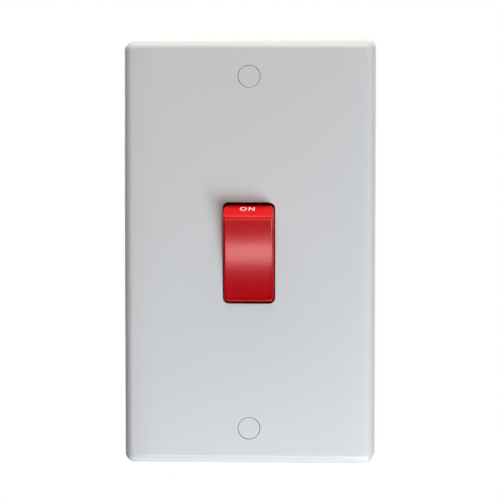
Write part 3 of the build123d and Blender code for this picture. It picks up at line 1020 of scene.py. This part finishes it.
@dataclass
class Studio:
    """The floor, the world, the lamps and the camera."""

    azimuth: float = 2.5
    elevation: float = 6.0
    distance: float = 1.2
    frame_width: float = 0.1703
    aim: tuple[float, float, float] = (0.0004, -0.0095, 0.00105)
    floor_drop: float = 1.5
    floor_size: float = 2.6
    floor_color: Color = (0.86, 0.86, 0.86)
    floor_span: Span = (0.99, 1.0)
    specks_per_metre: float = 40.0
    floor_white: float = 0.7
    high_light: Color = (0.262, 0.212, 0.175)
    low_light: Color = (0.205, 0.187, 0.168)
    room_gloss: Color = (0.02, 0.02, 0.02)
    side_shade: float = 0.6
    side_span: Span = (0.5, 0.95)
    horizon_span: Span = (-0.5, 0.5)
    backdrop_span: Span = (0.75, 0.95)
    lamps: tuple[Lamp, ...] = (
        Lamp(
            "gloss_strip",
            place=(0.1, -0.47, -0.252),
            target=FRONT,
            width=0.5,
            height=0.06,
            watts=1.45,
            in_diffuse=False,
        ),
        Lamp(
            "low_key",
            place=(0.3, -0.43, -0.52),
            target=FRONT,
            width=0.53,
            height=0.23,
            watts=5.5,
            color=(0.905, 1.0, 1.09),
        ),
        Lamp(
            "top_fill",
            place=(0.0, -0.08, 0.7),
            target=ORIGIN,
            width=0.8,
            height=0.2,
            watts=5.7,
            color=(1.02, 1.0, 0.96),
            in_gloss=False,
        ),
        Lamp(
            "top_gloss",
            place=(0.0, -0.05, 0.7),
            target=ORIGIN,
            width=0.8,
            height=0.2,
            watts=0.5,
            in_diffuse=False,
        ),
        Lamp(
            "back_fill",
            place=(-0.4, 0.7, 0.3),
            target=ORIGIN,
            width=0.7,
            height=0.7,
            watts=4.5,
        ),
    )

    def build(self) -> None:
        """Set up everything round the object."""
        self.lay_floor()
        self.light_world()
        for lamp in self.lamps:
            lamp.light()
        self.set_camera()
        bpy.context.scene.view_settings.view_transform = "Standard"

    def lay_floor(self) -> None:
        """Lay a plain pale floor well below the object."""
        work = bmesh.new()
        bmesh.ops.create_grid(work, x_segments=1, y_segments=1, size=self.floor_size / 2)
        bmesh.ops.translate(work, vec=(0.0, 0.0, cad_box[0].z - self.floor_drop), verts=work.verts)
        mesh = bpy.data.meshes.new("pale_floor")
        work.to_mesh(mesh)
        work.free()
        graph = Graph(bpy.data.materials.new("pale_floor"))
        speck = graph.noise(graph.place(), self.specks_per_metre)
        pale = graph.vary(speck, self.floor_color, self.floor_span)
        diffuse = graph.node("ShaderNodeBsdfDiffuse", {}, {"Color": pale})
        white = graph.node("ShaderNodeEmission", {}, {"Color": (*WHITE, 1.0)})
        seen = self.seen_share(graph) * self.floor_white
        mixed = graph.node("ShaderNodeMixShader", {}, {0: seen, 1: diffuse, 2: white})
        graph.node("ShaderNodeOutputMaterial", {}, {"Surface": mixed})
        mesh.materials.append(graph.owner)
        floor = bpy.data.objects.new("pale_floor", mesh)
        bpy.context.scene.collection.objects.link(floor)

    def seen_share(self, graph: Graph) -> Value:
        """Which rays see the backdrop.

        Args:
            graph: The tree that asks.

        Returns:
            1 for rays from the camera, from gloss or through glass, and 0 for other rays.
        """
        camera, gloss, glass = (graph.node("ShaderNodeLightPath", output=ray) for ray in SEEN_RAYS)
        return graph.compute("ADD", camera, gloss + glass, clamp=True)

    def light_world(self) -> None:
        """Fill the world with soft light that the camera, glass and metal see as white."""
        world = bpy.data.worlds.new("studio")
        graph = Graph(world)
        way = graph.node("ShaderNodeTexCoord", output="Generated")
        side, back, up = (graph.part(way, axis) for axis in "XYZ")
        camera, gloss, glass = (graph.node("ShaderNodeLightPath", output=ray) for ray in SEEN_RAYS)
        soft = graph.blend(up.step(*self.horizon_span), self.low_light, self.high_light)
        soft = graph.blend(abs(side).step(*self.side_span) * self.side_shade, soft, BLACK)
        unlit = graph.blend(gloss, soft, self.room_gloss)
        backdrop = gloss * back.step(*self.backdrop_span)
        seen = graph.compute("ADD", camera, glass + backdrop, clamp=True)
        color = graph.blend(seen, unlit, WHITE)
        background = graph.node("ShaderNodeBackground", {}, {"Color": color, "Strength": 1.0})
        graph.node("ShaderNodeOutputWorld", {}, {"Surface": background})
        bpy.context.scene.world = world

    def set_camera(self) -> None:
        """Look at the plate from the photograph's viewing angle."""
        turn, rise = math.radians(self.azimuth), math.radians(self.elevation)
        back = Vector(
            (math.sin(turn) * math.cos(rise), -math.cos(turn) * math.cos(rise), math.sin(rise))
        )
        data = bpy.data.cameras.new("camera")
        data.lens = data.sensor_width * self.distance / self.frame_width
        data.clip_end = 4 * self.floor_size
        camera = bpy.data.objects.new("camera", data)
        camera.rotation_mode = "QUATERNION"
        camera.location = Vector(self.aim) + back * self.distance
        camera.rotation_quaternion = (-back).to_track_quat("-Z", "Y")
        bpy.context.scene.collection.objects.link(camera)
        bpy.context.scene.camera = camera


def main() -> None:
    """Build every sub-assembly and the studio."""
    logging.basicConfig(level=logging.INFO, format="%(name)s: %(message)s")
    inside = (Mechanism(), Contacts(), PlungerSprings(), Terminals())
    for part in (Studio(), WallPlate(), FixingScrews(), Rocker(), *inside):
        part.build()


if __name__ == "__main__":
    main()
